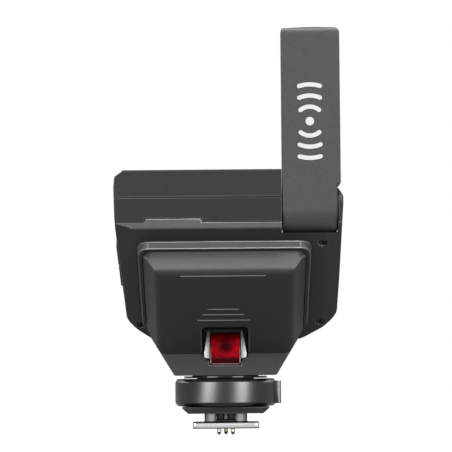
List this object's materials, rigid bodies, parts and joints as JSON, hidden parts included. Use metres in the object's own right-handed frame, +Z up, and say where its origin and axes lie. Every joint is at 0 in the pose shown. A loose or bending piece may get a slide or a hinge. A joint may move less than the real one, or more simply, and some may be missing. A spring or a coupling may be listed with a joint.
{
  "type": "wireless flash trigger",
  "caption": "Hot-shoe radio transmitter: tilted screen body with a red focus lamp in its nose, a fold-back antenna arm, and a locking ring over a metal shoe foot.",
  "frame": {"origin": "centre of the hot-shoe foot's underside", "axes": "+Z up out of the shoe, -Y towards the subject, +Y towards the viewer, +X to the right as seen from the subject"},
  "size_m": [0.0618, 0.0522, 0.1101],
  "materials": {
    "black_shell": "fine grained satin black",
    "grey_shell": "satin graphite grey",
    "ring_black": "satin black anodised",
    "gloss_black": "glossy",
    "key_black": "matt",
    "rubber_black": "matt",
    "nickel": "satin nickel plate",
    "gold": "gold plate",
    "dark_steel": "blackened",
    "red_lens": "glossy translucent red",
    "liner_grey": "satin",
    "screen_glass": "polished, display off",
    "board_green": "solder mask",
    "cell_wrap": "shrink wrap",
    "led": "clear"
  },
  "bodies": {
    "body": {"rear_shell": "black_shell", "mid_frame": "black_shell", "lower_shell": "black_shell", "shell_screw_1": "dark_steel", "shell_screw_2": "dark_steel", "shell_screw_3": "dark_steel", "nose_cover": "black_shell", "lamp_bezel": "liner_grey", "lamp_lens": "red_lens", "lamp_led": "led", "battery_pack": "cell_wrap", "main_board": "board_green", "display_module": "liner_grey", "dial_encoder": "key_black", "radio_module": "nickel", "screen_glass": "screen_glass", "usb_socket": "nickel", "hinge_pin": "dark_steel", "shoe_base": "black_shell", "shoe_foot": "nickel", "swivel_collar": "gloss_black", "contact_block": "rubber_black"},
    "antenna": {"antenna_arm": "grey_shell", "antenna_cover": "grey_shell", "antenna_element": "gold"},
    "lock_ring": {"lock_ring": "ring_black"},
    "lock_pin": {"lock_pin": "nickel"},
    "sync_contact": {"sync_contact": "gold"},
    "data_contact_1": {"data_contact_1": "nickel"},
    "data_contact_2": {"data_contact_2": "nickel"},
    "data_contact_3": {"data_contact_3": "nickel"},
    "data_contact_4": {"data_contact_4": "nickel"},
    "soft_key_1": {"soft_key_1": "key_black"},
    "soft_key_2": {"soft_key_2": "key_black"},
    "soft_key_3": {"soft_key_3": "key_black"},
    "soft_key_4": {"soft_key_4": "key_black"},
    "dial": {"dial": "key_black"},
    "dial_button": {"dial_button": "gloss_black"},
    "lamp_key": {"lamp_key": "key_black"},
    "power_key": {"power_key": "key_black"},
    "port_cover": {"port_cover": "rubber_black"}
  },
  "joints": [
    {"name": "antenna_fold", "type": "hinge", "parent": "body", "child": "antenna", "pos_m": [0.0236, -0.032, 0.059], "axis": [-1, 0, 0], "range_deg": [0, 128]},
    {"name": "lock_ring_turn", "type": "hinge", "parent": "body", "child": "lock_ring", "pos_m": [0, 0, 0.01], "axis": [0, 0, 1], "range_deg": [0, 75]},
    {"name": "lock_pin_slide", "type": "slide", "parent": "body", "child": "lock_pin", "axis": [0, 0, -1], "range_m": [0, 0.0016]},
    {"name": "sync_contact_press", "type": "slide", "parent": "body", "child": "sync_contact", "axis": [0, 0, 1], "range_m": [0, 0.0012], "stiffness_N_per_m": 300},
    {"name": "data_contact_1_press", "type": "slide", "parent": "body", "child": "data_contact_1", "axis": [0, 0, 1], "range_m": [0, 0.0012], "stiffness_N_per_m": 300},
    {"name": "data_contact_2_press", "type": "slide", "parent": "body", "child": "data_contact_2", "axis": [0, 0, 1], "range_m": [0, 0.0012], "stiffness_N_per_m": 300},
    {"name": "data_contact_3_press", "type": "slide", "parent": "body", "child": "data_contact_3", "axis": [0, 0, 1], "range_m": [0, 0.0012], "stiffness_N_per_m": 300},
    {"name": "data_contact_4_press", "type": "slide", "parent": "body", "child": "data_contact_4", "axis": [0, 0, 1], "range_m": [0, 0.0012], "stiffness_N_per_m": 300},
    {"name": "soft_key_1_press", "type": "slide", "parent": "body", "child": "soft_key_1", "axis": [0, -0.6157, -0.788], "range_m": [0, 0.0006], "stiffness_N_per_m": 800},
    {"name": "soft_key_2_press", "type": "slide", "parent": "body", "child": "soft_key_2", "axis": [0, -0.6157, -0.788], "range_m": [0, 0.0006], "stiffness_N_per_m": 800},
    {"name": "soft_key_3_press", "type": "slide", "parent": "body", "child": "soft_key_3", "axis": [0, -0.6157, -0.788], "range_m": [0, 0.0006], "stiffness_N_per_m": 800},
    {"name": "soft_key_4_press", "type": "slide", "parent": "body", "child": "soft_key_4", "axis": [0, -0.6157, -0.788], "range_m": [0, 0.0006], "stiffness_N_per_m": 800},
    {"name": "dial_turn", "type": "hinge", "parent": "body", "child": "dial", "pos_m": [-0.007, 0.00217, 0.03784], "axis": [0, 0.6157, 0.788], "continuous": true},
    {"name": "dial_button_press", "type": "slide", "parent": "body", "child": "dial_button", "axis": [0, -0.6157, -0.788], "range_m": [0, 0.0006], "stiffness_N_per_m": 800},
    {"name": "lamp_key_press", "type": "slide", "parent": "body", "child": "lamp_key", "axis": [1, 0, 0], "range_m": [0, 0.0005], "stiffness_N_per_m": 800},
    {"name": "power_key_press", "type": "slide", "parent": "body", "child": "power_key", "axis": [1, 0, 0], "range_m": [0, 0.0005], "stiffness_N_per_m": 800},
    {"name": "port_cover_open", "type": "hinge", "parent": "body", "child": "port_cover", "pos_m": [-0.0272, -0.00518, 0.03331], "axis": [0, -0.6157, -0.788], "range_deg": [0, 110]}
  ],
  "couplings": [
    {"joint": "lock_pin_slide", "follows": "lock_ring_turn", "m_per_rad": 0.0011459}
  ]
}
